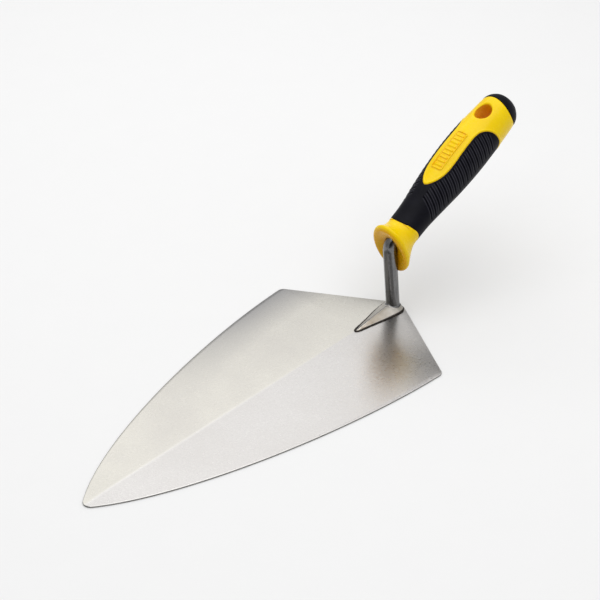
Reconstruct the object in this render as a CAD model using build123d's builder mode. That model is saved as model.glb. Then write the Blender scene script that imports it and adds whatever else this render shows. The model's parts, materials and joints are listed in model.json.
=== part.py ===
"""Brick trowel: a pointed steel blade, a forged tang and a two-colour moulded handle.

The row frame has its origin on the ground under the middle of the tool, +X from the heel of the
blade to its toe, +Z up, and is symmetric about the XZ plane.
"""
import math
import os

from build123d import *

os.makedirs("parts", exist_ok=True)

# ---------------------------------------------------------------- blade
BLADE_LENGTH = 280.0  # heel to toe, the 11 in pattern
BLADE_HALF_WIDTH = 69.7  # at the shoulders, the 5 1/2 in pattern
SHOULDER_X = 42.0  # from the heel to the end of the heel edge
HEEL_RADIUS = 15.0
SHOULDER_RADIUS = 4.5
TOE_RADIUS = 5.0
TOE_ANGLE = 53.0  # where the side meets the toe arc
RIDGE_HEIGHT = 2.2  # blade thickness along its centre line
EDGE_HEIGHT = 1.2  # blade thickness at its edges
# forward distance and half width of the roof-shaped sections that thin the blade to its edges
ROOF_SECTIONS = ((-4, 76), (60, 76), (140, 62), (220, 36), (270, 12.5), (284, 5))
SIDE_BOW = ((126, 65.7), (236, 36.8))  # control points of the blade's long side
HEEL_X = -87.11  # the sharp heel corner in the row frame

# ---------------------------------------------------------------- tang
FOOT_BACK = 5.0  # distances forward of the heel corner
FOOT_WIDEST = 12.0
FOOT_TIP = 46.0
FOOT_HALF_WIDTH = 7.6
FOOT_BACK_HALF_WIDTH = 6.6
FOOT_BACK_RADIUS = 3.0
FOOT_TIP_HALF_WIDTH = 1.2
FOOT_TIP_RADIUS = 1.0
FOOT_RIDGE_BACK = (12.6, 7.2)  # forward distance and height of the ridge line
FOOT_RIDGE_FRONT = (42.0, 2.9)
FOOT_EDGE_HEIGHT = 3.3
SHANK_RADIUS = 4.5
SHANK_ROOT = (8.6, RIDGE_HEIGHT)  # forward distance and height of the shank's centre
SHANK_LEAN = 6.1  # degrees forward of upright
SHANK_BEND_RADIUS = 8.0
TANG_RISE = 2.0  # how far the tang runs above the handle's axis
SPIKE_START = 1.0
SPIKE_END = 62.0
SPIKE_WIDTH = 6.2
SPIKE_TAPER = 0.7  # degrees
BARB_PITCH = 8.0
BARB_COUNT = 6
BARB_SIZE = 3.0
WELD_BEAD = 0.9  # how far the weld spreads from the foot, and its height
WELD_SLOPE = 25.0  # degrees from upright

# ---------------------------------------------------------------- handle
HANDLE_ANGLE = 26.95  # above the blade
HANDLE_ORIGIN = (-1.09, 59.41)  # forward distance and height where the neck begins
CLEARANCE = 0.12
# station along the handle, rise of the section's centre, its half height and its half width
GRIP_SECTIONS = (
    (-4.0, -0.4, 10.6, 11.1),
    (10.0, 0.0, 11.1, 11.3),
    (25.0, 0.6, 12.8, 12.8),
    (42.0, 0.8, 14.65, 14.3),
    (62.0, 0.85, 15.9, 14.95),
    (80.0, 0.6, 15.4, 14.6),
    (92.0, 0.05, 14.65, 13.9),
    (105.0, -0.15, 13.55, 12.5),
)
DOME_SECTIONS = (
    (109.5, -0.2, 12.5, 11.4),
    (112.2, -0.3, 9.8, 8.7),
    (113.3, -0.3, 5.6, 4.6),
)
# station, rise, half height, half width and backward tilt of the finger guard's sections
GUARD_SECTIONS = (
    (-18.2, -2.8, 18.6, 12.6, 8.0),
    (-15.8, -2.6, 20.0, 14.0, 8.0),
    (-12.6, -1.5, 16.6, 12.9, 7.0),
    (-9.0, -0.7, 13.0, 11.7, 5.0),
    (1.5, -0.2, 10.7, 11.1, 0.0),
)
SEAM_FRONT = -0.3  # guard to grip, at the sides
SEAM_REAR = 102.0  # core to end cap, at the sides
SEAM_CROWN = 2.8  # how much further out each seam is on top
SLEEVE_WALL = 2.4
SLEEVE_PROUD = 0.35
TONGUE_TIP = 27.2
TONGUE_NOSE = 21.0  # length over which the tongue reaches its full width
TONGUE_HALF_WIDTH = 8.2
LOBE_CENTRE = (67.2, 1.0)  # the round rear end of the sleeve, seen from the side
LOBE_RADIUS = 17.5
GROOVE_COUNT = 17
GROOVE_PITCH = 3.95
GROOVE_START = 13.2
GROOVE_WIDTH = 0.9
GROOVE_DEPTH = 0.6
GROOVE_TOP = (5.4, 12.6)  # how far back and how high a groove's upper end is
GROOVE_FRONT = 2.5  # height at which a groove is furthest forward
GROOVE_BOTTOM = (5.0, -9.0)
HOLE_STATION = 91.8
HOLE_RADIUS = 5.8
HOLE_LENGTHENING = 1.0  # each mouth of the hanging hole is longer than it is wide
MOUTH_DEPTH = 2.0
MOUTH_SLOPE = 22.0  # degrees
FRAME_START = 40.0  # raised frame and thumb ribs on the tongue
FRAME_END = 71.0
FRAME_HALF_WIDTH = 4.6
FRAME_BAR = 0.9
FRAME_RISE = 0.35
RIB_COUNT = 9
SPIGOT_RADIUS = 7.4
SPIGOT_LENGTH = 3.0
FRONT_SPIGOT_LENGTH = 6.0
GUARD_ROOM = 0.5  # gap round the shank where it enters the guard
BIG = 60.0


def forward(distance, height=0.0):
    """A point on the middle plane, measured forward from the heel corner."""
    return (HEEL_X + distance, 0.0, height)


SIDE = Plane(
    origin=forward(*HANDLE_ORIGIN),
    x_dir=Vector(-math.cos(math.radians(HANDLE_ANGLE)), 0, math.sin(math.radians(HANDLE_ANGLE))),
    z_dir=(0, 1, 0),
)  # local x runs along the handle, local y rises from its axis


def across(station, rise=0.0, tilt=0.0):
    """The plane across the handle, with local x sideways and local y up."""
    angle = math.radians(tilt)
    normal = SIDE.x_dir * math.cos(angle) - SIDE.y_dir * math.sin(angle)
    origin = SIDE.from_local_coords((station, rise, 0))
    return Plane(origin=origin, x_dir=(0, -1, 0), z_dir=normal)


def above(rise):
    """The plane over the handle, with local x along it."""
    return Plane(origin=SIDE.from_local_coords((0, rise, 0)), x_dir=SIDE.x_dir, z_dir=SIDE.y_dir)


def section_faces(sections, growth=0.0):
    """The handle's elliptical sections, all grown by the same amount."""
    faces = []
    for station, rise, half_height, half_width, *tilt in sections:
        with BuildSketch(across(station, rise, *tilt)) as section:
            Ellipse(half_width + growth, half_height + growth)
        faces.append(section.sketch)
    return faces


def tongue_outline():
    """The tongue of the core that shows on top of the handle, seen from above it."""
    with BuildSketch(above(0)) as outline:
        with BuildLine():
            nose = Bezier(
                (TONGUE_TIP, 0),
                (TONGUE_TIP, 0.6 * TONGUE_HALF_WIDTH),
                (TONGUE_TIP + 0.4 * TONGUE_NOSE, TONGUE_HALF_WIDTH),
                (TONGUE_TIP + TONGUE_NOSE, TONGUE_HALF_WIDTH),
            )
            Polyline(nose @ 1, (BLADE_LENGTH, TONGUE_HALF_WIDTH), (BLADE_LENGTH, 0), nose @ 0)
        make_face()
        mirror(about=Plane.XZ)
    return outline.sketch


def crowned_zone(station, crown, half_height, length):
    """Everything beyond a seam, seen from the side; the seam is bowed outwards at the top."""
    height = 2 * LOBE_RADIUS
    bow = crown * (height / half_height) ** 2
    with BuildSketch(SIDE) as zone:
        with BuildLine():
            seam = Bezier((station + bow, height), (station - bow, 0), (station + bow, -height))
            Polyline(seam @ 1, (station + length, -height), (station + length, height), seam @ 0)
        make_face()
    return zone.sketch


def sleeve_zone():
    """The stretch of the handle that the sleeve covers, seen from the side."""
    centre_station, centre_rise = LOBE_CENTRE
    with BuildSketch(SIDE) as zone:
        with Locations((centre_station, centre_rise)):
            Circle(LOBE_RADIUS)
        with Locations((GRIP_SECTIONS[0][0], centre_rise)):
            length = centre_station - GRIP_SECTIONS[0][0]
            Rectangle(length, 2 * LOBE_RADIUS, align=(Align.MIN, Align.CENTER))
    return zone.sketch


def front_zone():
    """Everything in front of the bowed seam between the guard and the grip."""
    return crowned_zone(SEAM_FRONT, -SEAM_CROWN, GRIP_SECTIONS[0][2], -BIG)


def cap_zone():
    """Everything behind the bowed seam of the end cap."""
    return crowned_zone(SEAM_REAR, SEAM_CROWN, GRIP_SECTIONS[-1][2], BIG)


def blade_outline():
    """The blade seen from above: straight heel edges, gently bowed sides and a round toe."""
    with BuildSketch(Plane.XY) as outline:
        with BuildLine():
            toe_angle = math.radians(TOE_ANGLE)
            shoulder = forward(SHOULDER_X)[0], BLADE_HALF_WIDTH
            toe_centre_x = forward(BLADE_LENGTH - TOE_RADIUS)[0]
            toe_start = (
                toe_centre_x + TOE_RADIUS * math.cos(toe_angle),
                TOE_RADIUS * math.sin(toe_angle),
            )
            bow = [(forward(distance)[0], half_width) for distance, half_width in SIDE_BOW]
            side = Bezier(shoulder, *bow, toe_start)
            ThreePointArc(side @ 1, (forward(BLADE_LENGTH)[0], 0), (toe_start[0], -toe_start[1]))
            mirror(side, about=Plane.XZ)
            Polyline(side @ 0, forward(0)[:2], (side @ 0) - (0, 2 * BLADE_HALF_WIDTH))
        make_face()
        heel = outline.vertices().sort_by(Axis.X)[0]
        fillet(heel, HEEL_RADIUS)
        fillet(outline.vertices().group_by(SortBy.DISTANCE)[-1], SHOULDER_RADIUS)
    return outline.sketch


def foot_outline():
    """The footprint of the tang's foot on the blade."""
    with BuildSketch(Plane.XY) as outline:
        with BuildLine():
            flank = Polyline(
                forward(FOOT_BACK)[:2],
                (forward(FOOT_BACK)[0], FOOT_BACK_HALF_WIDTH),
                (forward(FOOT_WIDEST)[0], FOOT_HALF_WIDTH),
                (forward(FOOT_TIP)[0], FOOT_TIP_HALF_WIDTH),
                forward(FOOT_TIP)[:2],
            )
            mirror(flank, about=Plane.XZ)
        make_face()
        fillet(outline.vertices().group_by(Axis.X)[0], FOOT_BACK_RADIUS)
        fillet(outline.vertices().group_by(Axis.X)[-1], FOOT_TIP_RADIUS)
    return outline.sketch


# ---------------------------------------------------------------- blade
with BuildPart() as blade:
    extrude(blade_outline(), amount=RIDGE_HEIGHT)
    roof = []
    for distance, half_width in ROOF_SECTIONS:
        with BuildSketch(Plane(origin=forward(distance), x_dir=(0, 1, 0), z_dir=(1, 0, 0))) as slice_:
            Polygon(
                (-half_width, -1),
                (half_width, -1),
                (half_width, EDGE_HEIGHT),
                (0, RIDGE_HEIGHT),
                (-half_width, EDGE_HEIGHT),
                align=None,
            )
        roof.append(slice_.sketch)
    loft(sections=roof, mode=Mode.INTERSECT)
blade.part.label = "blade"
export_step(blade.part, "parts/blade.step")

# ---------------------------------------------------------------- tang
tang_start = SIDE.from_local_coords((0, TANG_RISE, 0))
spike_plane = across(SPIKE_START, TANG_RISE)

with BuildPart() as tang:
    # the foot: a ridged wedge that lies on the blade
    extrude(foot_outline(), amount=FOOT_RIDGE_BACK[1] + 2)
    ridge_back = Vector(forward(*FOOT_RIDGE_BACK))
    ridge_front = Vector(forward(*FOOT_RIDGE_FRONT))
    for facing in (1, -1):
        edge = Vector(forward(FOOT_WIDEST)[0], facing * FOOT_HALF_WIDTH, FOOT_EDGE_HEIGHT)
        facet = Plane(
            origin=ridge_back,
            x_dir=ridge_front - ridge_back,
            z_dir=(ridge_front - ridge_back).cross(edge - ridge_back) * facing,
        )
        split(bisect_by=facet, keep=Keep.BOTTOM)
    # the shank: round bar, up from the foot and back along the handle's axis
    with BuildLine() as route:
        lean = math.tan(math.radians(SHANK_LEAN))
        root = Vector(forward(*SHANK_ROOT))
        slope = math.tan(math.radians(HANDLE_ANGLE))
        # where the leaning shank's line meets the line of the spike
        rise = (tang_start.Z - root.Z + slope * (tang_start.X - root.X)) / (1 + slope * lean)
        knee = root + Vector(lean * rise, 0, rise)
        FilletPolyline(root, knee, spike_plane.origin, radius=SHANK_BEND_RADIUS)
    with BuildSketch(Plane(origin=root, x_dir=(0, 1, 0), z_dir=knee - root)):
        Circle(SHANK_RADIUS)
    sweep(path=route.wires()[0])
    # the spike: a tapered square with barbs, held in the core
    with BuildSketch(spike_plane):
        Rectangle(SPIKE_WIDTH, SPIKE_WIDTH)
    extrude(amount=SPIKE_END - SPIKE_START, taper=SPIKE_TAPER)
    with BuildSketch(SIDE):
        for number in range(BARB_COUNT):
            station = SPIKE_START + (number + 1) * BARB_PITCH
            for facing in (1, -1):
                rotation = 180 if facing > 0 else 0
                with Locations((station, TANG_RISE + facing * SPIKE_WIDTH / 2)):
                    Triangle(a=BARB_SIZE, b=BARB_SIZE, c=BARB_SIZE, rotation=rotation)
    extrude(amount=SPIKE_WIDTH, both=True, mode=Mode.SUBTRACT)
    add(blade.part, mode=Mode.SUBTRACT)
tang.part.label = "tang"
export_step(tang.part, "parts/tang.step")

with BuildPart() as foot_weld:
    with BuildSketch(Plane.XY):
        add(foot_outline())
        offset(amount=WELD_BEAD + RIDGE_HEIGHT * math.tan(math.radians(WELD_SLOPE)))
    extrude(amount=RIDGE_HEIGHT + WELD_BEAD, taper=WELD_SLOPE)
    extrude(blade_outline(), amount=BIG, mode=Mode.INTERSECT)
    add(blade.part, mode=Mode.SUBTRACT)
    add(tang.part, mode=Mode.SUBTRACT)
foot_weld.part.label = "foot_weld"
export_step(foot_weld.part, "parts/foot_weld.step")

# ---------------------------------------------------------------- handle
with BuildPart() as grooves:
    with BuildSketch(SIDE):
        with BuildLine():
            for number in range(GROOVE_COUNT):
                station = GROOVE_START + number * GROOVE_PITCH
                ThreePointArc(
                    (station + GROOVE_TOP[0], GROOVE_TOP[1]),
                    (station, GROOVE_FRONT),
                    (station + GROOVE_BOTTOM[0], GROOVE_BOTTOM[1]),
                )
        trace(line_width=GROOVE_WIDTH)
    extrude(amount=BIG, both=True)
    loft(sections=section_faces(GRIP_SECTIONS, SLEEVE_PROUD - GROOVE_DEPTH), mode=Mode.SUBTRACT)

with BuildPart() as plain_sleeve:
    loft(sections=section_faces(GRIP_SECTIONS, SLEEVE_PROUD))
    extrude(sleeve_zone(), amount=BIG, both=True, mode=Mode.INTERSECT)
    extrude(front_zone(), amount=BIG, both=True, mode=Mode.SUBTRACT)
    extrude(tongue_outline(), amount=BIG, mode=Mode.SUBTRACT)
    loft(sections=section_faces(GRIP_SECTIONS, -SLEEVE_WALL), mode=Mode.SUBTRACT)

with BuildPart() as grip_sleeve:
    add(plain_sleeve.part)
    add(grooves.part, mode=Mode.SUBTRACT)
grip_sleeve.part.label = "grip_sleeve"
export_step(grip_sleeve.part, "parts/grip_sleeve.step")


with BuildPart() as shank_room:
    with BuildSketch(Plane(origin=root, x_dir=(0, 1, 0), z_dir=knee - root)):
        Circle(SHANK_RADIUS + GUARD_ROOM)
    sweep(path=route.wires()[0])

with BuildPart() as thumb_frame:
    loft(sections=section_faces(GRIP_SECTIONS, FRAME_RISE))
    with BuildSketch(above(0)) as frame_bars:
        length = FRAME_END - FRAME_START
        with Locations((FRAME_START + length / 2, 0)):
            RectangleRounded(length, 2 * FRAME_HALF_WIDTH, 2 * FRAME_BAR)
            inner_length = length - 2 * FRAME_BAR
            inner_width = 2 * (FRAME_HALF_WIDTH - FRAME_BAR)
            RectangleRounded(inner_length, inner_width, FRAME_BAR, mode=Mode.SUBTRACT)
            with GridLocations(inner_length / RIB_COUNT, 0, RIB_COUNT, 1):
                SlotOverall(inner_width - FRAME_BAR, FRAME_BAR, rotation=90)
    extrude(frame_bars.sketch, amount=BIG, mode=Mode.INTERSECT)
    loft(sections=section_faces(GRIP_SECTIONS, -SLEEVE_WALL), mode=Mode.SUBTRACT)

with BuildPart() as handle_core:
    loft(sections=section_faces(GRIP_SECTIONS))
    extrude(front_zone(), amount=BIG, both=True, mode=Mode.SUBTRACT)
    extrude(cap_zone(), amount=BIG, both=True, mode=Mode.SUBTRACT)
    with BuildSketch(across(SEAM_FRONT + 1)):
        Circle(SPIGOT_RADIUS)
    extrude(amount=-FRONT_SPIGOT_LENGTH - 1)
    with BuildSketch(across(SEAM_REAR - 1)):
        Circle(SPIGOT_RADIUS)
    extrude(amount=SPIGOT_LENGTH + 1)
    add(plain_sleeve.part, mode=Mode.SUBTRACT)
    add(thumb_frame.part)
    # the tang's socket
    with BuildSketch(spike_plane):
        Rectangle(SPIKE_WIDTH + 2 * CLEARANCE, SPIKE_WIDTH + 2 * CLEARANCE)
    extrude(amount=SPIKE_END - SPIKE_START + CLEARANCE, taper=SPIKE_TAPER, mode=Mode.SUBTRACT)
    with BuildSketch(spike_plane):
        Circle(SHANK_RADIUS + CLEARANCE)
    extrude(amount=-BIG / 2, mode=Mode.SUBTRACT)
    # the hanging hole, with a dished mouth on each side
    with BuildSketch(above(0)):
        with Locations((HOLE_STATION, 0)):
            Circle(HOLE_RADIUS)
    extrude(amount=BIG, both=True, mode=Mode.SUBTRACT)
    hole_section = GRIP_SECTIONS[-2]
    for facing in (1, -1):
        throat = hole_section[1] + facing * (hole_section[2] - MOUTH_DEPTH)
        with BuildSketch(above(throat)):
            with Locations((HOLE_STATION, 0)):
                Ellipse(HOLE_RADIUS + HOLE_LENGTHENING, HOLE_RADIUS)
        extrude(amount=facing * 2 * MOUTH_DEPTH, taper=-MOUTH_SLOPE, mode=Mode.SUBTRACT)
handle_core.part.label = "handle_core"
export_step(handle_core.part, "parts/handle_core.step")


with BuildPart() as finger_guard:
    loft(sections=section_faces(GUARD_SECTIONS))
    extrude(front_zone(), amount=BIG, both=True, mode=Mode.INTERSECT)
    with BuildSketch(across(SEAM_FRONT + 1)):
        Circle(SPIGOT_RADIUS + CLEARANCE)
    extrude(amount=-FRONT_SPIGOT_LENGTH - 1 - CLEARANCE, mode=Mode.SUBTRACT)
    add(shank_room.part, mode=Mode.SUBTRACT)
finger_guard.part.label = "finger_guard"
export_step(finger_guard.part, "parts/finger_guard.step")


with BuildPart() as end_cap:
    loft(sections=section_faces(GRIP_SECTIONS[-2:] + DOME_SECTIONS, SLEEVE_PROUD / 2))
    extrude(cap_zone(), amount=BIG, both=True, mode=Mode.INTERSECT)
    with BuildSketch(across(SEAM_REAR - 1)):
        Circle(SPIGOT_RADIUS + CLEARANCE)
    extrude(amount=SPIGOT_LENGTH + 1 + CLEARANCE, mode=Mode.SUBTRACT)
end_cap.part.label = "end_cap"
export_step(end_cap.part, "parts/end_cap.step")
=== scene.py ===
"""Looks of a brick trowel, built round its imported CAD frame.

Lengths are in millimetres until a mesh is made, which turns them into metres.
The handle is described by a station along its axis, an angle round it (0 on top) and a lift
off its skin, so that its seams, ribs and rims are all written in the handle's own terms.
"""

import json
import math

import bmesh
import bpy
import numpy as np
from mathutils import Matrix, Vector
from mathutils.kdtree import KDTree


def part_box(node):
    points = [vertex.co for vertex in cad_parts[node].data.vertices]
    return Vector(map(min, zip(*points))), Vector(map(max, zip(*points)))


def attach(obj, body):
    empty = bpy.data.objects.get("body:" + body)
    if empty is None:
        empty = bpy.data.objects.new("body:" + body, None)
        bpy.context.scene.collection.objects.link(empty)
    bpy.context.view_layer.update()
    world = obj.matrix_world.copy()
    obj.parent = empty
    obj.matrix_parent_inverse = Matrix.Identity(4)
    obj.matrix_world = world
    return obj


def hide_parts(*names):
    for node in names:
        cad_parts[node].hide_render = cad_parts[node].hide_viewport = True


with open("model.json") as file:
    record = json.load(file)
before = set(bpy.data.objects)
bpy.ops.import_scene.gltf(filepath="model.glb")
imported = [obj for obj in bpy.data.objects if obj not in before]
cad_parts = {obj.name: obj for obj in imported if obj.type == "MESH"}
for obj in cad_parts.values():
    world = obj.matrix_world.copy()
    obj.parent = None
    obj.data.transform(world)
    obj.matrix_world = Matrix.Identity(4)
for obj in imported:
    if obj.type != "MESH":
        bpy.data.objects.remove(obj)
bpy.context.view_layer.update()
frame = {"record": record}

MM = 0.001


# ---------------------------------------------------------------- places taken from the frame
def millimetres(point):
    return np.array(point, float) / MM


blade_high = millimetres(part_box("blade")[1])
BLADE_LENGTH = 280.0  # from the sharp heel corner, which the round heel cuts off
HEEL = np.array((blade_high[0] - BLADE_LENGTH, 0.0, 0.0))
HALF_WIDTH = blade_high[1]
RIDGE = blade_high[2]

hole = next(m for m in frame["record"]["mounts"] if m["name"] == "hanging_hole")
HOLE_STATION, HOLE_RISE = 91.8, 0.05
UP = np.array(hole["axis"], float)
ALONG = np.array((-UP[2], 0.0, UP[0]))
ASIDE = np.array((0.0, 1.0, 0.0))
NECK = millimetres(hole["pos_m"]) - ALONG * HOLE_STATION - UP * HOLE_RISE


# ---------------------------------------------------------------- small mathematics
def smoothstep(low, high, x):
    t = np.clip((x - low) / (high - low), 0.0, 1.0)
    return t * t * (3.0 - 2.0 * t)


def curve_through(knots, values):
    """A smooth curve through a few values, as a function of the knots' variable."""
    x, y = np.array(knots, float), np.array(values, float)
    slopes = np.gradient(y, x, axis=0)

    def at(where):
        where = np.clip(np.asarray(where, float), x[0], x[-1])
        i = np.clip(np.searchsorted(x, where) - 1, 0, len(x) - 2)
        width = x[i + 1] - x[i]
        t = (where - x[i]) / width
        if y.ndim > 1:
            t, width = t[..., None], width[..., None]
        start, end = (1 + 2 * t) * (1 - t) ** 2, t * t * (3 - 2 * t)
        leave, arrive = t * (1 - t) ** 2 * width, t * t * (t - 1) * width
        return start * y[i] + end * y[i + 1] + leave * slopes[i] + arrive * slopes[i + 1]

    return at


def path_through(points, spacing=0.6):
    """Points close together along a smooth path through a few points."""
    points = np.array(points, float)
    run = np.concatenate(([0], np.cumsum(np.linalg.norm(np.diff(points, axis=0), axis=1))))
    return curve_through(run, points)(np.arange(0, run[-1], spacing))


# ---------------------------------------------------------------- meshes
def make_object(name, points, faces, material, smooth=True):
    mesh = bpy.data.meshes.new(name)
    mesh.from_pydata((np.asarray(points) * MM).tolist(), [], [list(f) for f in faces])
    mesh.validate()
    mesh.update()
    mesh.materials.append(material)
    mesh.polygons.foreach_set("use_smooth", [smooth] * len(mesh.polygons))
    piece = bpy.data.objects.new(name, mesh)
    bpy.context.scene.collection.objects.link(piece)
    return piece


def ring_faces(rows, columns):
    """Quads between rows of points that each close on themselves."""
    row = np.arange(rows - 1)[:, None] * columns
    column = np.arange(columns)[None, :]
    a = row + column
    b = row + (column + 1) % columns
    return np.stack([a, b, b + columns, a + columns], -1).reshape(-1, 4)


def lathe(name, rings, material):
    """A closed skin over rings of points, each end closed by one face."""
    rings = np.asarray(rings)
    rows, columns = rings.shape[:2]
    faces = ring_faces(rows, columns).tolist()
    faces.append(list(range(columns))[::-1])
    faces.append(list(range((rows - 1) * columns, rows * columns)))
    return make_object(name, rings.reshape(-1, 3), faces, material)


def apply_modifiers(piece):
    """Put the modifiers' result in the piece's own mesh."""
    graph = bpy.context.evaluated_depsgraph_get()
    mesh = bpy.data.meshes.new_from_object(piece.evaluated_get(graph))
    piece.modifiers.clear()
    piece.data = mesh
    return piece


def fix_normals(piece, merge_within=None):
    """Turn every face outwards, after merging points that are closer than the given metres."""
    work = bmesh.new()
    work.from_mesh(piece.data)
    if merge_within is not None:
        bmesh.ops.remove_doubles(work, verts=work.verts, dist=merge_within)
    bmesh.ops.recalc_face_normals(work, faces=work.faces)
    work.to_mesh(piece.data)
    work.free()


def add_boolean(piece, name, other, operation):
    """An exact boolean with another closed mesh, still to be applied."""
    boolean = piece.modifiers.new(name, "BOOLEAN")
    boolean.object = other
    boolean.operation = operation
    boolean.solver = "EXACT"


def set_materials(piece, *materials):
    piece.data.materials.clear()
    for material in materials:
        piece.data.materials.append(material)


def finish_piece(piece, node, sharp):
    """Fair the normals, and let the piece stand for its CAD node."""
    fix_normals(piece)
    piece.data.set_sharp_from_angle(angle=math.radians(sharp))
    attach(piece, "root")
    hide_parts(node)


# ---------------------------------------------------------------- materials
NOISE_ROUGHNESS = 0.55  # how much of a noise is in its finer octaves


class Finish:
    """A Principled material with a short way of adding its nodes."""

    def __init__(self, name, **sockets):
        self.material = bpy.data.materials.new(name)
        self.material.use_nodes = True
        self.nodes = self.material.node_tree.nodes
        self.links = self.material.node_tree.links
        self.shader = self.nodes["Principled BSDF"]
        for socket, value in sockets.items():
            self.shader.inputs[socket.replace("_", " ")].default_value = value
        self.place = self.nodes.new("ShaderNodeTexCoord").outputs["Object"]

    def node(self, kind, settings=None, **inputs):
        """Add a shader node; an input is named, or i and its number."""
        made = self.nodes.new("ShaderNode" + kind)
        for key, value in (settings or {}).items():
            setattr(made, key, value)
        for key, value in inputs.items():
            numbered = key[0] == "i" and key[1:].isdigit()
            socket = made.inputs[int(key[1:]) if numbered else key]
            if isinstance(value, bpy.types.NodeSocket):
                self.links.new(value, socket)
            else:
                socket.default_value = value
        return made

    def noise(self, scale, detail=4.0, stretch=(1, 1, 1), turned=0.0):
        """Noise in object space, its scale in features a metre, stretched along turned axes."""
        mapping = self.node("Mapping", {"vector_type": "TEXTURE"}, Vector=self.place, Scale=stretch)
        mapping.inputs["Rotation"].default_value = (0.0, 0.0, math.radians(turned))
        mapped = mapping.outputs["Vector"]
        made = self.node("TexNoise", Vector=mapped, Scale=scale, Detail=detail, Roughness=NOISE_ROUGHNESS)
        return made.outputs["Fac"]

    def math(self, operation, first, second=0.0):
        return self.node("Math", {"operation": operation}, i0=first, i1=second).outputs[0]

    def remap(self, value, low, high, out_low, out_high):
        made = self.node("MapRange", i0=value, i1=low, i2=high, i3=out_low, i4=out_high)
        return made.outputs[0]

    def mix(self, factor, first, second):
        """Blend two colours; each is a socket or a plain colour."""
        made = self.node("Mix", {"data_type": "RGBA"}, Factor=factor)
        for socket, value in ((made.inputs[6], first), (made.inputs[7], second)):
            if isinstance(value, bpy.types.NodeSocket):
                self.links.new(value, socket)
            else:
                socket.default_value = (*value, 1.0)
        return made.outputs[2]

    def bump(self, height, distance, strength):
        made = self.node("Bump", Height=height, Distance=distance, Strength=strength)
        return made.outputs["Normal"]

    def connect(self, **sockets):
        for name, output in sockets.items():
            self.links.new(output, self.shader.inputs[name.replace("_", " ")])
        return self.material


def blade_steel():
    """Satin steel: two ground facets, one of them painted lighter than the other as painted shade, that
    meet along a ridge with a painted highlight line.
    """
    f = Finish("blade_steel", Metallic=1.0)
    ground = f.noise(2200, 2.0, (4.0, 1.0, 1.0), 133)
    speckle = f.noise(1600, 3.0, (2.5, 1.0, 1.0), 133)
    cloud = f.noise(14, 4.0)
    place = f.node("SeparateXYZ", Vector=f.place)
    # painted shade: the two facets are painted in a lighter and a darker tone, for how light falls on each
    painted_facet_shade = f.remap(place.outputs["Y"], -0.0004, 0.0004, 0.0, 1.0)
    tone = f.mix(painted_facet_shade, (0.625, 0.605, 0.550), (0.560, 0.545, 0.535))
    tone = f.mix(f.remap(ground, 0.35, 0.65, 0.0, 0.28), tone, (0.47, 0.46, 0.44))
    tone = f.mix(f.remap(speckle, 0.5, 0.7, 0.0, 0.4), tone, (0.74, 0.73, 0.70))
    tone = f.mix(f.remap(cloud, 0.4, 0.7, 0.0, 0.4), tone, (0.49, 0.47, 0.45))
    # painted shade: one of the two facets is painted greyer along its edge near the heel; the side is near
    # enough a parabola there
    shoulder_x, side_curvature = 0.045, 1.231
    from_shoulder = f.math("ADD", place.outputs["X"], shoulder_x)
    drop = f.math("MULTIPLY", f.math("MULTIPLY", from_shoulder, from_shoulder), side_curvature)
    inset = f.math("ADD", f.math("SUBTRACT", float(HALF_WIDTH) * MM, drop), place.outputs["Y"])
    heelward = f.remap(place.outputs["X"], 0.09, -0.01, 0.0, 1.0)
    painted_shade_band = f.math("MULTIPLY", f.remap(inset, 0.003, 0.028, 0.95, 0.0), heelward)
    tone = f.mix(painted_shade_band, tone, (0.33, 0.325, 0.325))
    # painted highlight: a light line painted along the ridge between the facets, growing towards the toe
    off_crease = f.math("ABSOLUTE", place.outputs["Y"])
    painted_crease_shading = f.remap(off_crease, 0.0003, 0.0016, 0.22, 0.0)
    along = f.remap(place.outputs["X"], -0.03, 0.08, 0.0, 1.0)
    tone = f.mix(f.math("MULTIPLY", painted_crease_shading, along), tone, (0.80, 0.79, 0.76))
    roughness = f.remap(speckle, 0.3, 0.7, 0.26, 0.36)
    return f.connect(Base_Color=tone, Roughness=roughness, Normal=f.bump(ground, 0.000006, 0.4))


# painted shade: the blade's upright edge walls are painted dark, standing in for the shade on them
def painted_shade_edge_steel():
    f = Finish("painted_shade_edge_steel", Metallic=1.0)
    scratch = f.noise(900, 4.0)
    tone = f.mix(f.remap(scratch, 0.3, 0.7, 0, 1), (0.13, 0.128, 0.125), (0.22, 0.217, 0.21))
    return f.connect(Base_Color=tone, Roughness=f.remap(scratch, 0.3, 0.7, 0.35, 0.5))


def tang_steel():
    f = Finish("tang_steel", Metallic=1.0)
    scale = f.noise(600, 6.0)
    drawn = f.noise(500, 3.0, (1.0, 1.0, 12.0))
    tone = f.mix(f.remap(drawn, 0.3, 0.7, 0, 1), (0.145, 0.145, 0.15), (0.235, 0.232, 0.23))
    tone = f.mix(f.remap(scale, 0.5, 0.75, 0, 0.4), tone, (0.12, 0.118, 0.115))
    roughness = f.remap(scale, 0.3, 0.7, 0.18, 0.28)
    return f.connect(Base_Color=tone, Roughness=roughness, Normal=f.bump(scale, 0.00001, 0.5))


def foot_steel():
    f = Finish("foot_steel", Metallic=1.0)
    scratch = f.noise(700, 4.0, (5.0, 1.0, 1.0))
    patch = f.noise(150, 4.0)
    tone = f.mix(f.remap(patch, 0.3, 0.7, 0, 1), (0.46, 0.43, 0.38), (0.66, 0.63, 0.58))
    roughness = f.remap(scratch, 0.3, 0.7, 0.28, 0.44)
    return f.connect(Base_Color=tone, Roughness=roughness, Normal=f.bump(scratch, 0.00005, 0.6))


# partly painted shade: the weld bead is real, but its near-black tone also stands in for the shaded wall
# round the foot
def weld_metal():
    f = Finish("weld_metal", Metallic=0.8)
    beads = f.noise(900, 5.0)
    tone = f.mix(f.remap(beads, 0.35, 0.65, 0, 1), (0.014, 0.012, 0.012), (0.06, 0.05, 0.042))
    roughness = f.remap(beads, 0.3, 0.7, 0.45, 0.7)
    return f.connect(Base_Color=tone, Roughness=roughness, Normal=f.bump(beads, 0.0002, 0.8))


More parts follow.
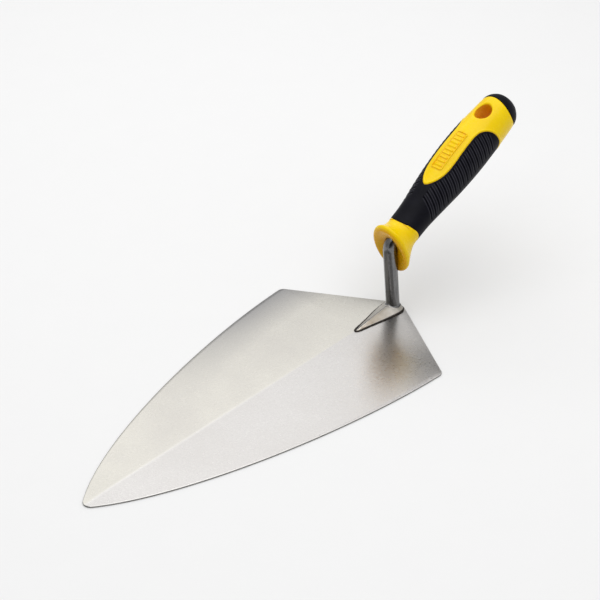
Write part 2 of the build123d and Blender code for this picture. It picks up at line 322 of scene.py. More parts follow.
def yellow_plastic(name, dark, light, painted_crease_shading):
    f = Finish(
        name,
        IOR=1.46,
        Specular_IOR_Level=0.22,
        Subsurface_Weight=0.06,
        Subsurface_Radius=(1.0, 0.5, 0.06),
        Subsurface_Scale=0.002,
    )
    flow = f.noise(35, 2.0)
    orange_peel = f.noise(800, 2.0)
    tone = f.mix(f.remap(flow, 0.35, 0.65, 0, 1), dark, light)
    # painted shade: creases, found by ambient occlusion, are painted a deeper orange
    occlusion_for_painted_shade = f.node("AmbientOcclusion", {"samples": 8}, Distance=0.004).outputs["AO"]
    tone = f.mix(f.remap(occlusion_for_painted_shade, 0.35, 0.985, 1.0, 0.0), tone, painted_crease_shading)
    # painted shade: the guard's face where it looks at the blade, where less light falls, is painted a
    # deeper orange
    normal = f.node("NewGeometry").outputs["Normal"]
    product = f.node("VectorMath", {"operation": "DOT_PRODUCT"}, i0=normal, i1=tuple(-ALONG))
    ahead = f.remap(product.outputs["Value"], 0.5, 0.95, 0.0, 0.7)
    tone = f.mix(ahead, tone, (0.84, 0.38, 0.0))
    roughness = f.remap(f.noise(260, 4.0), 0.3, 0.7, 0.20, 0.32)
    return f.connect(Base_Color=tone, Roughness=roughness, Normal=f.bump(orange_peel, 0.00002, 0.5))


def black_grip(name, dark, light):
    f = Finish(name, IOR=1.45, Specular_IOR_Level=0.11)
    fine = f.noise(2600, 3.0)
    dust = f.noise(120, 5.0)
    tone = f.mix(f.remap(dust, 0.4, 0.7, 0, 1), dark, light)
    roughness = f.remap(fine, 0.3, 0.7, 0.42, 0.58)
    return f.connect(Base_Color=tone, Roughness=roughness, Normal=f.bump(fine, 0.00005, 0.6))


def pale_floor():
    f = Finish("pale_floor", Roughness=0.9, Specular_IOR_Level=0.1)
    grain = f.noise(40, 3.0)
    tone = f.mix(f.remap(grain, 0.3, 0.7, 0, 1), (0.82, 0.82, 0.82), (0.825, 0.825, 0.825))
    return f.connect(Base_Color=tone)


BLADE_STEEL = blade_steel()
TANG_STEEL = tang_steel()
FOOT_STEEL = foot_steel()
WELD_METAL_AND_SHADE = weld_metal()
YELLOW = yellow_plastic(
    "yellow_plastic", (0.87, 0.59, 0.001), (0.90, 0.635, 0.002), (0.78, 0.29, 0.004)
)
# painted shade: a deeper orange copy of the yellow, for the wall of the hanging hole where shade falls
HOLE_SHADE_YELLOW = yellow_plastic(
    "hole_shade_yellow_plastic", (0.90, 0.47, 0.03), (0.92, 0.52, 0.03), (0.84, 0.36, 0.03)
)
BLACK = black_grip("black_grip", (0.003, 0.003, 0.006), (0.006, 0.006, 0.010))
# painted highlight: a lighter copy of the black for thin light lines beside the grooves
PAINTED_HIGHLIGHT_BLACK = black_grip("painted_highlight_black_grip", (0.022, 0.022, 0.030), (0.034, 0.034, 0.043))
PAINTED_SHADE_EDGE_STEEL = painted_shade_edge_steel()


# ---------------------------------------------------------------- the handle's skin
# station, rise of the section's centre, half height, half width
SKIN = curve_through(*zip(*[
    (-6.0, (-0.4, 10.6, 11.1)),
    (10.0, (0.0, 11.1, 11.3)),
    (25.0, (0.6, 12.8, 12.8)),
    (42.0, (0.8, 14.65, 14.3)),
    (62.0, (0.85, 15.9, 14.95)),
    (80.0, (0.6, 15.4, 14.6)),
    (92.0, (0.05, 14.65, 13.9)),
    (105.0, (-0.15, 13.55, 12.5)),
    (110.0, (-0.2, 12.6, 11.4)),
]))
GRIP_RADIUS = 15.0  # turns an angle round the grip into a length


def section(station):
    return np.moveaxis(SKIN(station), -1, 0)


def handle_point(station, angle, lift=0.0, shrink=1.0):
    """Points on the handle's skin; lift is outwards from it."""
    station, angle, lift, shrink = np.broadcast_arrays(station, angle, lift, shrink)
    rise, high, wide = section(station)
    up = rise + (high * shrink + lift) * np.cos(angle)
    aside = (wide * shrink + lift) * np.sin(angle)
    return (
        NECK
        + station[..., None] * ALONG
        + up[..., None] * UP
        + aside[..., None] * ASIDE
    )


# seams: the stations of the two bowed ones, and the rear edge of the sleeve from the tongue's
# tip, along the tongue and round the lobe to the underside (station, degrees from the top)
def front_seam(angle):
    return -0.3 - 2.7 * np.cos(angle) ** 2


def rear_seam(angle):
    return 102.0 + 2.8 * np.cos(angle) ** 2


SLEEVE_EDGE = [
    (27.0, 0), (27.9, 8.0), (29.6, 14.5), (31.8, 21.0), (35.0, 27.3), (39.0, 31.8), (44.0, 34.2),
    (50.0, 34.3), (58.0, 32.8), (66.0, 32.0), (73.0, 32.4), (77.0, 35.8), (80.0, 43.0),
    (82.2, 52.0), (84.0, 66.0), (84.8, 84.0), (84.5, 104.0), (83.1, 120.0), (80.2, 140.0),
    (77.3, 160.0), (76.0, 180.0),
]
edge_path = path_through([(s, math.radians(a) * GRIP_RADIUS) for s, a in SLEEVE_EDGE])
front_angles = np.linspace(0, math.pi, 120)
front_path = np.stack([front_seam(front_angles), front_angles * GRIP_RADIUS], -1)


def distance_to(path, points):
    """Distance from points to a path of short segments, both in the unrolled plane."""
    tree = KDTree(len(path))
    for number, (x, y) in enumerate(path):
        tree.insert((x, y, 0.0), number)
    tree.balance()
    nearest = np.array([tree.find((x, y, 0.0))[1] for x, y in points.tolist()])
    best = np.full(len(points), np.inf)
    for first in (nearest - 1, nearest):
        first = np.clip(first, 0, len(path) - 2)
        start, step = path[first], path[first + 1] - path[first]
        length = np.maximum((step**2).sum(-1), 1e-9)
        t = np.clip(((points - start) * step).sum(-1) / length, 0, 1)[:, None]
        best = np.minimum(best, np.linalg.norm(points - start - t * step, axis=-1))
    return best


def mirrored(path, about):
    """The path with its image beyond the top or the bottom of the handle."""
    image = path.copy()
    image[:, 1] = 2 * about - image[:, 1]
    return image


BOTTOM = math.pi * GRIP_RADIUS
rear_edge = np.concatenate([mirrored(edge_path, 0)[::-1], edge_path, mirrored(edge_path, BOTTOM)[::-1]])
front_edge = np.concatenate([mirrored(front_path, 0)[::-1], front_path, mirrored(front_path, BOTTOM)[::-1]])


def inside_sleeve(station, angle):
    """Positive inside the sleeve, negative outside: the distance to its edge."""
    shape = np.broadcast(station, angle).shape
    station = np.broadcast_to(station, shape).ravel()
    turned = np.abs(np.broadcast_to(angle, shape).ravel())
    points = np.stack([station, turned * GRIP_RADIUS], -1)
    nearest = np.minimum(distance_to(rear_edge, points), distance_to(front_edge, points))
    # a point is ahead of the rear edge if a line run backwards from it crosses the edge oddly
    y = points[:, 1]
    crossings = np.zeros(len(points), int)
    y0, y1 = edge_path[:-1, 1], edge_path[1:, 1]
    x0, x1 = edge_path[:-1, 0], edge_path[1:, 0]
    for a, b, c, d in zip(x0, y0, x1, y1):
        if b == d:
            continue
        between = (y >= min(b, d)) & (y < max(b, d))
        crossings += between & (points[:, 0] < a + (y - b) * (c - a) / (d - b))
    ahead = (crossings % 2 == 1) & (station > front_seam(turned))
    return np.where(ahead, nearest, -nearest).reshape(shape)


# ---------------------------------------------------------------- grip sleeve
GROOVES = 17
GROOVE_PITCH = 3.95
FIRST_GROOVE = 13.2
GROOVE_HALF_WIDTH = 0.6
GROOVE_DEPTH = 0.9
GROOVE_TOP = 19.0  # degrees from the top where the grooves start
GROOVE_END = 104.0  # and where they run out, towards the underside
SLEEVE_PROUD = 0.15
SLEEVE_ROLL = 0.9
SLEEVE_TUCK = 0.55  # how far the rolled edge drops below the proud face
SLEEVE_WALL = 1.6
RIB_CROWN = 0.25  # how far a rib's shoulders lie below its crest


def groove_bow(degrees):
    """How far a groove leans back on its way up from the underside."""
    return 6.2 * np.clip((102 - degrees) / 80, 0, 1.15) ** 1.15


def sleeve_stations():
    """Stations that follow the grooves: close together on their flanks, wider on the ribs."""
    flank = [-0.75, -0.55, -0.42, -0.3, -0.15, 0.0, 0.15, 0.3, 0.42, 0.55, 0.75]
    stations = list(np.arange(-4.0, FIRST_GROOVE - 1.0, 0.4))
    for number in range(GROOVES):
        middle = FIRST_GROOVE + number * GROOVE_PITCH
        stations += [middle + f for f in flank]
        stations += list(np.linspace(middle + 1.0, middle + GROOVE_PITCH - 1.0, 6))
    stations += list(np.arange(stations[-1] + 0.3, 86.0, 0.25))
    return np.array(stations)


def make_sleeve():
    angles = np.linspace(-math.pi, math.pi, 289)[:-1]
    base = sleeve_stations()[:, None]
    degrees = np.abs(np.degrees(angles))[None, :]
    # the bow fades out towards the front seam
    station = base + groove_bow(degrees) * smoothstep(2.0, 12.5, base)
    angle = np.broadcast_to(angles[None, :], station.shape)
    inside = inside_sleeve(station, angle)
    rolled = np.clip(1 - inside / SLEEVE_ROLL, 0, 1)
    lift = SLEEVE_PROUD - SLEEVE_TUCK * (1 - np.sqrt(1 - rolled**2))
    number = np.clip(np.round((base - FIRST_GROOVE) / GROOVE_PITCH), 0, GROOVES - 1)
    middle = FIRST_GROOVE + GROOVE_PITCH * number
    across = np.abs(base - middle)
    end = smoothstep(GROOVE_TOP, GROOVE_TOP + 4, degrees) * smoothstep(0.9, 1.9, inside)
    end = end * (1 - smoothstep(GROOVE_END - 16, GROOVE_END, degrees))
    groove = 1 - smoothstep(0.2, GROOVE_HALF_WIDTH, across)
    half_pitch = GROOVE_PITCH / 2
    crown = RIB_CROWN * (1 - np.clip(across / half_pitch, 0, 1)) * (across < half_pitch)
    lift = lift - (GROOVE_DEPTH * groove + crown * (1 - groove)) * end
    outer = handle_point(station, angle, lift)
    # only what is inside the edge is kept, cut exactly along it
    rows, columns = station.shape
    quads = ring_faces(rows, columns)
    # painted highlight: faces just beside each groove take the lighter black
    crest = ((across > 0.7) & (across < 1.4) & (end > 0.5)).ravel()
    painted_highlight_faces = crest[quads].all(1)
    return cut_skin("grip_sleeve", outer.reshape(-1, 3), quads, inside.ravel(), painted_highlight_faces)


def cut_skin(name, points, quads, inside, painted_highlight_faces):
    """The part of a skin where inside is positive, cut along its zero line, with a thickness."""
    points, inside = points.tolist(), inside.tolist()
    made = {}

    def crossing(a, b):
        key = (min(a, b), max(a, b))
        if key not in made:
            t = inside[a] / (inside[a] - inside[b])
            made[key] = len(points)
            points.append([p + t * (q - p) for p, q in zip(points[a], points[b])])
        return made[key]

    faces, crests = [], []
    for quad, crest in zip(quads.tolist(), painted_highlight_faces.tolist()):
        signs = [inside[i] > 0 for i in quad]
        if any(signs):
            crests.append(int(crest))
        if all(signs):
            faces.append(quad)
        elif any(signs):
            face = []
            for k in range(4):
                here, after = quad[k], quad[(k + 1) % 4]
                if signs[k]:
                    face.append(here)
                if signs[k] != signs[(k + 1) % 4]:
                    face.append(crossing(here, after))
            faces.append(face)
    used = sorted({i for face in faces for i in face})
    place = {old: new for new, old in enumerate(used)}
    piece = make_object(name, [points[i] for i in used], [[place[i] for i in f] for f in faces], BLACK)
    piece.data.materials.append(PAINTED_HIGHLIGHT_BLACK)
    piece.data.polygons.foreach_set("material_index", crests)
    fix_normals(piece, merge_within=0.01 * MM)
    thick = piece.modifiers.new("wall", "SOLIDIFY")
    thick.thickness = SLEEVE_WALL * MM
    thick.offset = -1.0
    return apply_modifiers(piece)


# ---------------------------------------------------------------- handle core
FRAME_MIDDLE, FRAME_HALF_LENGTH, FRAME_HALF_WIDTH = 55.2, 15.6, 4.3
FRAME_BAR = 0.45
FRAME_RISE = 0.65
THUMB_RIBS = 9
THUMB_PITCH = 3.1
HOLE_HALF_LENGTH, HOLE_HALF_WIDTH = 6.4, 5.4
RIM_RADIUS = 1.6


def raised_frame(station, aside):
    """The rounded frame and the thumb ribs on the tongue, as a lift."""
    corner = 1.6
    x = np.abs(station - FRAME_MIDDLE) - FRAME_HALF_LENGTH + corner
    y = np.abs(aside) - FRAME_HALF_WIDTH + corner
    outside = np.hypot(np.maximum(x, 0), np.maximum(y, 0)) + np.minimum(np.maximum(x, y), 0) - corner
    bar = 1 - smoothstep(0.5 * FRAME_BAR, 1.1 * FRAME_BAR, np.abs(outside + FRAME_BAR))
    number = np.clip(np.round((station - FRAME_MIDDLE) / THUMB_PITCH), -(THUMB_RIBS // 2), THUMB_RIBS // 2)
    along = np.abs(station - FRAME_MIDDLE - number * THUMB_PITCH)
    rib_length = FRAME_HALF_WIDTH - 3.4 * FRAME_BAR
    reach = np.hypot(along, np.maximum(np.abs(aside) - rib_length + 0.4, 0))
    rib = 1 - smoothstep(0.45, 0.85, reach)
    return FRAME_RISE * np.maximum(bar, 0.8 * rib)


def rim_drop(station, aside):
    """The rounded rim of the hanging hole, as a drop of the skin."""
    ratio = np.hypot((station - HOLE_STATION) / HOLE_HALF_LENGTH, aside / HOLE_HALF_WIDTH)
    gap = (ratio - 1) * 0.5 * (HOLE_HALF_LENGTH + HOLE_HALF_WIDTH)
    t = np.clip(1 - gap / RIM_RADIUS, 0, 1)
    return RIM_RADIUS * (1 - np.sqrt(1 - t**2))


def make_core():
    stations = np.concatenate([
        np.arange(-3.0, 24.0, 1.5),
        np.arange(24.0, 104.6, 0.35),
    ])[:, None]
    angles = np.linspace(-math.pi, math.pi, 321)[:-1][None, :]
    shift = rear_seam(angles) - 104.8
    station = stations + shift * smoothstep(96.0, 104.6, stations)
    angle = np.broadcast_to(angles, station.shape)
    inside = inside_sleeve(station, angle)
    _, _, wide = section(station)
    aside = wide * np.sin(angle)
    # beside the sleeve the plastic rises to a rolled edge
    lift = 0.3 * smoothstep(2.0, 0.9, -inside) - 0.5 * (1 - smoothstep(-0.1, 0.7, -inside))
    lift = lift - 1.2 * smoothstep(0.5, 1.0, inside)
    on_top = np.cos(angle) > 0
    lift = lift + np.where(on_top, raised_frame(station, aside), 0)
    lift = lift - rim_drop(station, aside)
    skin = handle_point(station, angle, lift)
    # the rear edge turns in under the end cap
    last, turned = station[-1:], angle[:1]
    rolled = [
        handle_point(last + 0.25, turned, -0.12),
        handle_point(last + 0.4, turned, -0.45),
        handle_point(last + 0.4, turned, -3.0),
        handle_point(last + 0.4, turned, -5.5),
        handle_point(np.full_like(last, 107.5), turned, -5.5),
    ]
    piece = lathe("handle_core", np.concatenate([skin, *rolled]), YELLOW)
    fix_normals(piece)
    bore = make_bore()
    add_boolean(piece, "hanging_hole", bore, "DIFFERENCE")
    apply_modifiers(piece)
    bpy.data.objects.remove(bore)
    # the wall of the hole, inside its rim, takes the deeper orange copy as painted shade
    set_materials(piece, YELLOW, HOLE_SHADE_YELLOW)
    middle = NECK + ALONG * HOLE_STATION
    for face in piece.data.polygons:
        spot = np.array(face.center) / MM - middle
        ratio = math.hypot((spot @ ALONG) / HOLE_HALF_LENGTH, spot[1] / HOLE_HALF_WIDTH)
        face.material_index = int(ratio < 1.04 and abs(np.array(face.normal) @ UP) < 0.4)
    return piece


def make_bore():
    """What the hanging hole removes: a straight oval plug, a hair wider than the rim's foot."""
    turn = np.linspace(0, 2 * math.pi, 97)[:-1]
    rings = []
    for rise in np.linspace(-30, 30, 41):
        spot = NECK + ALONG * HOLE_STATION + UP * (HOLE_RISE + rise)
        ring = (
            spot
            + (HOLE_HALF_LENGTH + 0.03) * np.cos(turn)[:, None] * ALONG
            + (HOLE_HALF_WIDTH + 0.03) * np.sin(turn)[:, None] * ASIDE
        )
        rings.append(ring)
    bore = lathe("bore", rings, YELLOW)
    fix_normals(bore)
    return bore


# ---------------------------------------------------------------- end cap
CAP_END = 113.3
DOME_START = 103.0
DOME_POWER = 2.5


def make_cap():
    angles = np.linspace(-math.pi, math.pi, 241)[:-1][None, :]
    seam = rear_seam(angles)
    proud = 0.15
    rings = [
        handle_point(seam + 0.25, angles, -3.2),
        handle_point(seam + 0.22, angles, -0.6),
        handle_point(seam + 0.28, angles, -0.2),
        handle_point(seam + 0.45, angles, proud - 0.1),
    ]
    for t in np.linspace(0.0, 1.0, 46) ** 0.85:
        station = (seam + 0.8) * (1 - t) + CAP_END * t
        depth = np.clip((station - DOME_START) / (CAP_END - DOME_START), 0, 1)
        shrink = np.clip(1 - depth**DOME_POWER, 0.0004, 1) ** (1 / DOME_POWER)
        rings.append(handle_point(np.minimum(station, 110.0), angles, proud * shrink, shrink)
                     + (station - np.minimum(station, 110.0))[..., None] * ALONG)
    return lathe("end_cap", np.concatenate([r.reshape(1, -1, 3) for r in rings]), BLACK)


# ---------------------------------------------------------------- finger guard
# station, rise, half height, half width and backward tilt of its sections, from the neck to the
# front face and into the opening for the shank
GUARD_FLANK = [
    (-4.2, -0.4, 10.75, 11.15, 0.4),
    (-6.2, -0.5, 11.3, 11.3, 1.8),
    (-8.6, -0.85, 12.6, 11.7, 4.0),
    (-11.4, -1.3, 14.9, 12.6, 6.0),
    (-13.6, -1.95, 17.4, 13.3, 7.4),
    (-15.0, -2.4, 19.2, 13.8, 8.0),
    (-15.9, -2.6, 19.95, 13.95, 8.0),
    (-16.9, -2.7, 19.8, 13.8, 8.0),
    (-17.8, -2.8, 19.0, 13.0, 8.0),
    (-18.2, -2.85, 17.6, 11.8, 8.0),
    (-17.8, -2.9, 15.2, 10.2, 8.0),
    (-16.9, -2.6, 12.2, 8.2, 8.0),
    (-16.0, -2.0, 9.6, 6.2, 8.0),
    (-15.4, -1.5, 7.7, 4.85, 8.0),
]
SHANK_RADIUS = 4.5
BEND_RADIUS = 8.0
TANG_RISE = 2.0  # how far the tang runs above the handle's axis
SHANK_ROOT = HEEL + (8.6, 0, 1.6)
SHANK_LEAN = math.radians(6.1)
SHANK_RISING = np.array((math.sin(SHANK_LEAN), 0, math.cos(SHANK_LEAN)))
SHANK_TURN = math.acos(float(SHANK_RISING @ ALONG))
# how far up the shank its line meets the tang's line inside the handle
knee = float((NECK + TANG_RISE * UP - SHANK_ROOT) @ UP) / float(SHANK_RISING @ UP)
BEND_END = SHANK_ROOT + knee * SHANK_RISING + BEND_RADIUS * math.tan(SHANK_TURN / 2) * ALONG
BEND_CENTRE = BEND_END - BEND_RADIUS * UP


def guard_ring(values, angles):
    station, rise, high, wide, tilt = values
    lean = math.radians(tilt)
    up = UP * math.cos(lean) + ALONG * math.sin(lean)
    centre = NECK + ALONG * station + UP * rise
    return centre + (high * np.cos(angles))[:, None] * up + (wide * np.sin(angles))[:, None] * ASIDE


def make_guard():
    angles = np.linspace(-math.pi, math.pi, 289)[:-1]
    steps = len(GUARD_FLANK)
    sections = curve_through(range(steps), GUARD_FLANK)(np.linspace(0, steps - 1, 110))
    rings = [guard_ring(values, angles) for values in sections]
    # the neck runs back to the bowed seam and turns in there
    seam = front_seam(angles)
    edge = handle_point(seam - 0.25, angles, 0.02)
    neck = [rings[0] * (1 - share) + edge * share for share in np.linspace(0, 0.94, 9)[1:]]
    neck.append(handle_point(seam - 0.12, angles, -0.08))
    neck.append(handle_point(seam - 0.02, angles, -0.4))
    neck.append(handle_point(seam - 0.02, angles, -3.0))
    # the opening follows the shank's bend inwards
    tunnel = []
    for turned in (12, 6, 0):
        bend = math.radians(turned)
        up = UP * math.cos(bend) - ALONG * math.sin(bend)
        centre = BEND_CENTRE + BEND_RADIUS * up
        size = SHANK_RADIUS + 0.35
        above = size * np.cos(angles)[:, None] * up
        beside = size * np.sin(angles)[:, None] * ASIDE
        tunnel.append(centre + above + beside)
    return lathe("finger_guard", neck[::-1] + rings + tunnel, YELLOW)


# ---------------------------------------------------------------- tang
# forward distance and half width of the foot's outline, and the height of its edges there
FOOT_OUTLINE = [
    (5.0, 4.1, 3.4), (5.8, 5.6, 3.4), (7.6, 6.6, 3.4), (11.0, 7.0, 3.3), (15.0, 6.7, 3.2),
    (22.0, 5.6, 3.0), (32.0, 3.6, 2.8), (40.0, 2.2, 2.6), (44.0, 1.5, 2.5), (45.6, 0.8, 2.4),
]
# forward distance and height of the foot's ridge
FOOT_RIDGE = [(5.0, 6.9), (12.6, 6.8), (21.1, 5.8), (29.9, 4.7), (38.6, 3.6), (43.0, 2.9), (45.8, 2.5)]
FOOT_ASIDE = 0.6  # the foot is welded on a hair off the middle
TANG_VOXEL = 0.33  # fine enough for the foot's facets


def shank_route():
    """The shank's centre line: up from the foot, round the bend and back into the handle."""
    bend = [
        BEND_CENTRE + BEND_RADIUS * (UP * math.cos(angle) - ALONG * math.sin(angle))
        for angle in np.linspace(SHANK_TURN, 0, 40)
    ]
    straight = [SHANK_ROOT * (1 - t) + bend[0] * t for t in np.linspace(0, 1, 60)[:-1]]
    inside = [BEND_END + ALONG * s for s in np.arange(0.5, 11.5, 0.5)]
    return np.array(straight + bend + inside)


def tube(route, radius, columns=64):
    """Rings round a route in the plane of symmetry."""
    heading = np.gradient(route, axis=0)
    heading /= np.linalg.norm(heading, axis=1)[:, None]
    outward = np.cross(heading, ASIDE)
    turn = np.linspace(0, 2 * math.pi, columns + 1)[:-1]
    rings = []
    for spot, out in zip(route, outward):
        rings.append(spot + radius * (np.cos(turn)[:, None] * out + np.sin(turn)[:, None] * ASIDE))
    return rings


def make_tang():
    route = shank_route()
    shank = lathe("tang", tube(route, SHANK_RADIUS), TANG_STEEL)
    # the foot: facets that fall from a middle ridge to the edges
    ridge = curve_through(*zip(*FOOT_RIDGE))
    points, faces = [], []
    for distance, half, edge in FOOT_OUTLINE:
        top = float(ridge(distance))
        for side, height in ((-1, 1.4), (-1, edge), (0, top), (1, edge), (1, 1.4)):
            points.append(HEEL + (distance, FOOT_ASIDE + side * half, height))
    count = len(FOOT_OUTLINE)
    for row in range(count - 1):
        for column in range(5):
            a, b = row * 5 + column, row * 5 + (column + 1) % 5
            faces.append((a, b, b + 5, a + 5))
    faces += [tuple(range(5)), tuple(range((count - 1) * 5, count * 5))]
    foot = make_object("foot", points, faces, TANG_STEEL)
    fix_normals(foot)
    fix_normals(shank)
    add_boolean(shank, "foot", foot, "UNION")
    remesh = shank.modifiers.new("even", "REMESH")
    remesh.mode = "VOXEL"
    remesh.voxel_size = TANG_VOXEL * MM
    remesh.use_smooth_shade = True
    apply_modifiers(shank)
    bpy.data.objects.remove(foot)
    # forging softens every edge, and the root of the shank most
    mesh = shank.data
    co = np.empty(len(mesh.vertices) * 3)
    mesh.vertices.foreach_get("co", co)
    co = co.reshape(-1, 3) / MM
    near = np.linalg.norm((co - HEEL - (10.0, 0, 6.0)) * (1, 1, 1.2), axis=1)
    weight = 0.12 + 0.88 * (1 - smoothstep(5.0, 9.0, near))
    group = shank.vertex_groups.new(name="soften")
    for index, value in enumerate(weight):
        group.add([index], float(value), "REPLACE")
    soft = shank.modifiers.new("soften", "SMOOTH")
    soft.factor = 0.5
    soft.iterations = 14
    soft.vertex_group = "soften"
    apply_modifiers(shank)
    set_materials(shank, TANG_STEEL, FOOT_STEEL)
    shank.vertex_groups.clear()
    # the ground facets of the foot are brighter than the shank
    for face in shank.data.polygons:
        middle = np.array(face.center) / MM - HEEL
        off_shank = math.hypot(middle[0] - 9.0, middle[1])
        face.material_index = int(middle[2] < 8.5 and off_shank > SHANK_RADIUS + 0.9)
        # painted shade: a thin strip beside the ridge keeps the dark shank steel, as a dark line of painted
        # shade along it
        if -0.9 < middle[1] - FOOT_ASIDE < -0.1 and off_shank > SHANK_RADIUS + 2:
            face.material_index = 0
        face.use_smooth = True
    return shank


def foot_edge(count=260):
    """The foot's outline as a closed smooth path, with its outward normals."""
    half = [(d, w) for d, w, _ in FOOT_OUTLINE]
    loop = [(5.0, 0.0)] + half + [(46.3, 0.0)] + [(d, -w) for d, w in half[::-1]] + [(5.0, 0.0)]
    dense = path_through(loop, 0.1)
    pick = dense[np.linspace(0, len(dense) - 1, count, endpoint=False).astype(int)]
    tangent = np.roll(pick, -3, axis=0) - np.roll(pick, 3, axis=0)
    tangent /= np.linalg.norm(tangent, axis=1)[:, None]
    return pick, np.stack([-tangent[:, 1], tangent[:, 0]], -1)


def make_weld():
    """A narrow, slightly lumpy bead round the foot."""
    random = np.random.default_rng(7)
    edge, normal = foot_edge()
    wave = random.normal(size=len(edge))
    kernel = np.hanning(9) / np.hanning(9).sum()
    lumps = np.convolve(np.concatenate([wave[-4:], wave, wave[:4]]), kernel, "valid")
    width = 0.9 + 0.12 * lumps
    rings = []
    for turn in np.linspace(0, 2 * math.pi, 17)[:-1]:
        out = (0.05 + width * np.cos(turn))[:, None] * normal
        high = 2.05 + (0.85 + 0.10 * lumps) * np.sin(turn)
        flat = edge + out + (0.0, FOOT_ASIDE)
        rings.append(np.column_stack([HEEL[0] + flat[:, 0], flat[:, 1], high]))
    around = np.array(rings)  # 16 lines that each follow the whole foot
    lines, columns = around.shape[:2]
    quads = []
    for line in range(lines):
        after = (line + 1) % lines
        for column in range(columns):
            ahead = (column + 1) % columns
            quads.append((line * columns + column, line * columns + ahead,
                          after * columns + ahead, after * columns + column))
    return make_object("foot_weld", around.reshape(-1, 3), quads, WELD_METAL_AND_SHADE)


# ---------------------------------------------------------------- blade
HEEL_SLOPE = 1.66  # sideways for each millimetre forward along the heel edges
HEEL_RADIUS = 15.0
SHOULDER_RADIUS = 4.5
SIDE_BOW = ((126, 65.7), (236, 36.8))  # control points of the blade's long side
TOE_RADIUS = 5.0
TOE_ANGLE = math.radians(53)  # where the side meets the toe arc
EDGE_THICKNESS = 1.2
EDGE_BEVEL = 0.35


def bezier(a, b, c, d, t):
    """Points of a cubic curve between a and d."""
    t = np.asarray(t)[:, None]
    a, b, c, d = (np.array(p, float) for p in (a, b, c, d))
    return a * (1 - t) ** 3 + 3 * b * t * (1 - t) ** 2 + 3 * c * t * t * (1 - t) + d * t**3


def rounded(corner, before, after, radius, count):
    """An arc that rounds a corner between two neighbouring points."""
    corner, before, after = (np.array(p, float) for p in (corner, before, after))
    one = (before - corner) / np.linalg.norm(before - corner)
    two = (after - corner) / np.linalg.norm(after - corner)
    half = 0.5 * math.acos(float(np.clip(one @ two, -1, 1)))
    middle = (one + two) / np.linalg.norm(one + two)
    centre = corner + middle * radius / math.sin(half)
    start, end = corner + one * radius / math.tan(half), corner + two * radius / math.tan(half)
    a, b = start - centre, end - centre
    angle = math.acos(float(np.clip(a @ b, -radius**2, radius**2) / radius**2))
    t = np.linspace(0, 1, count)[:, None]
    return centre + (np.sin((1 - t) * angle) * a + np.sin(t * angle) * b) / math.sin(angle)


def blade_half():
    """Half of the blade's outline, from the middle of the heel to the toe."""
    heel, shoulder = (0.0, 0.0), (HALF_WIDTH / HEEL_SLOPE, HALF_WIDTH)
    toe = BLADE_LENGTH - TOE_RADIUS
    start = (toe + TOE_RADIUS * math.cos(TOE_ANGLE), TOE_RADIUS * math.sin(TOE_ANGLE))
    side = bezier(shoulder, *SIDE_BOW, start, np.linspace(0, 1, 130))
    mirror = (shoulder[0], -shoulder[1])
    round_heel = rounded(heel, mirror, shoulder, HEEL_RADIUS, 25)[12:]
    round_shoulder = rounded(shoulder, heel, side[6], SHOULDER_RADIUS, 14)
    side = side[side[:, 0] > round_shoulder[-1, 0] + 1]
    edge = [round_heel[-1] * (1 - t) + round_shoulder[0] * t for t in np.linspace(0, 1, 40)[1:-1]]
    turn = np.linspace(TOE_ANGLE, 0, 22)[1:]
    round_toe = np.stack([toe + TOE_RADIUS * np.cos(turn), TOE_RADIUS * np.sin(turn)], -1)
    return np.concatenate([round_heel, edge, round_shoulder, side, round_toe])


def make_blade():
    """Cross sections between the two edges: a roof-shaped top with a soft ridge, and a flat back."""
    half = blade_half()
    half[0, 1] = half[-1, 1] = 0.02
    share = np.concatenate([np.linspace(0, 0.06, 9)[:-1], np.linspace(0.06, 1, 30)])
    rows = []
    for distance, wide in half:
        bevel = min(EDGE_BEVEL, wide * 0.3)
        inner = max(wide - bevel, 0.5 * wide)
        aside = share * inner
        ridge = np.sqrt((aside / max(inner, 1)) ** 2 + 0.012**2)
        crown = (RIDGE - EDGE_THICKNESS) * smoothstep(0, 16, wide)
        top = EDGE_THICKNESS + crown * (1 - np.minimum(ridge, 1))
        right = [(a, z) for a, z in zip(aside, top)]
        right += [(wide - 0.3 * bevel, top[-1] - 0.12), (wide, top[-1] - 0.34), (wide, 0.3)]
        right += [(wide - 0.3 * bevel, 0.08), (inner, 0.0)]
        under = [(inner * t, 0.0) for t in (0.75, 0.5, 0.25, 0.0)]
        half_ring = right + under
        ring = half_ring + [(-a, z) for a, z in half_ring[-2:0:-1]]
        rows.append([HEEL + (distance, a, z) for a, z in ring])
    blade = lathe("blade", np.array(rows), BLADE_STEEL)
    blade.data.materials.append(PAINTED_SHADE_EDGE_STEEL)
    # painted shade: the near-upright edge faces take the dark-painted edge steel
    for face in blade.data.polygons:
        face.material_index = int(abs(face.normal.z) < 0.3)
    return blade


# ---------------------------------------------------------------- the whole tool
finish_piece(make_blade(), "blade", 30)
finish_piece(make_tang(), "tang", 60)
finish_piece(make_weld(), "foot_weld", 60)
finish_piece(make_core(), "handle_core", 45)
finish_piece(make_guard(), "finger_guard", 60)
finish_piece(make_sleeve(), "grip_sleeve", 50)
finish_piece(make_cap(), "end_cap", 60)


# ---------------------------------------------------------------- floor, lights and camera
def add_floor():
    size = 3000.0
    low = -0.05  # just under the blade, so that the two don't flicker
    corners = [(-size, -size, low), (size, -size, low), (size, size, low), (-size, size, low)]
    floor = make_object("floor", corners, [(0, 1, 2, 3)], pale_floor(), smooth=False)


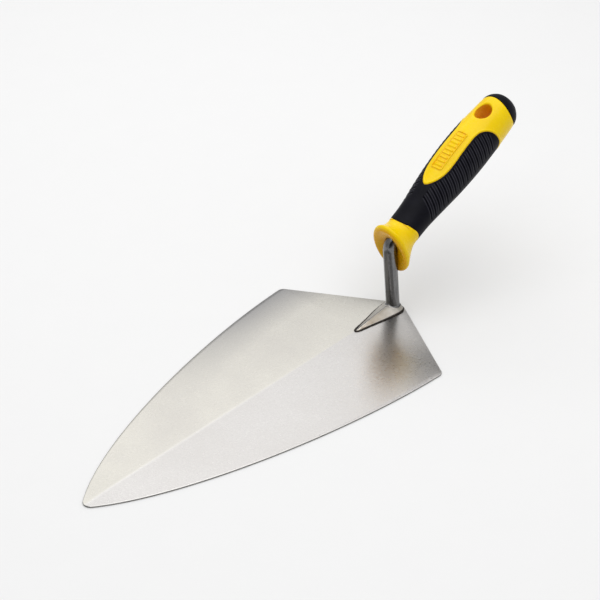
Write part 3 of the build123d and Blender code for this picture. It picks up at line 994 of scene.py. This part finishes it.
def add_dark_wall(place, width, height):
    """A black wall behind the camera, for dark streaks in what faces it."""
    f = Finish("dark_wall", Roughness=0.9)
    cloud = f.remap(f.noise(4, 2.0), 0.3, 0.7, 0, 1)
    flat = f.mix(cloud, (0.010, 0.010, 0.010), (0.014, 0.014, 0.014))
    place = np.array(place, float)
    across = np.array((-place[1], place[0], 0.0)) / math.hypot(place[0], place[1]) * width / 2
    top = np.array((0.0, 0.0, height))
    corners = [place - across, place + across, place + across + top, place - across + top]
    wall = make_object("dark_wall", corners, [(0, 1, 2, 3)], f.connect(Base_Color=flat), smooth=False)


def add_softbox(name, place, aim, size, power):
    """A white area light, placed and aimed in millimetres."""
    light = bpy.data.lights.new(name, "AREA")
    light.shape = "RECTANGLE"
    light.size, light.size_y = size[0] * MM, size[1] * MM
    light.energy = power
    lamp = bpy.data.objects.new(name, light)
    bpy.context.scene.collection.objects.link(lamp)
    lamp.location = Vector(place) * MM
    lamp.rotation_euler = (Vector(aim) - Vector(place)).to_track_quat("-Z", "Y").to_euler()


CAMERA_TARGET = HEEL + (42.09, -52.16, 0.0)
CAMERA_DISTANCE = 1322.0
CAMERA_ELEVATION = math.radians(34.43)
CAMERA_TURN = math.radians(47.155)


def add_camera():
    """The camera stands off the toe and looks back over the blade at the handle."""
    toward = Vector((
        math.cos(CAMERA_ELEVATION) * math.sin(CAMERA_TURN),
        math.cos(CAMERA_ELEVATION) * math.cos(CAMERA_TURN),
        math.sin(CAMERA_ELEVATION),
    ))
    lens = bpy.data.cameras.new("camera")
    lens.sensor_width = 36.0
    lens.lens = 120.0
    camera = bpy.data.objects.new("camera", lens)
    bpy.context.scene.collection.objects.link(camera)
    camera.location = (Vector(CAMERA_TARGET) + CAMERA_DISTANCE * toward) * MM
    camera.rotation_euler = (-toward).to_track_quat("-Z", "Y").to_euler()
    bpy.context.scene.camera = camera


def add_world(strength):
    world = bpy.data.worlds.new("studio")
    bpy.context.scene.world = world
    world.use_nodes = True
    background = world.node_tree.nodes["Background"]
    background.inputs["Color"].default_value = (1.0, 1.0, 1.0, 1.0)
    background.inputs["Strength"].default_value = strength


add_floor()
add_camera()
add_dark_wall((1150, 1070, 0), 1500, 1500)
add_softbox("mirror_card", (-395, -560, 705), (30, 30, 0), (700, 500), 1.23)
add_softbox("overhead", (100, 150, 1500), (0, 0, 0), (2000, 2000), 21)
add_world(0.5)
bpy.context.scene.view_settings.view_transform = "Standard"
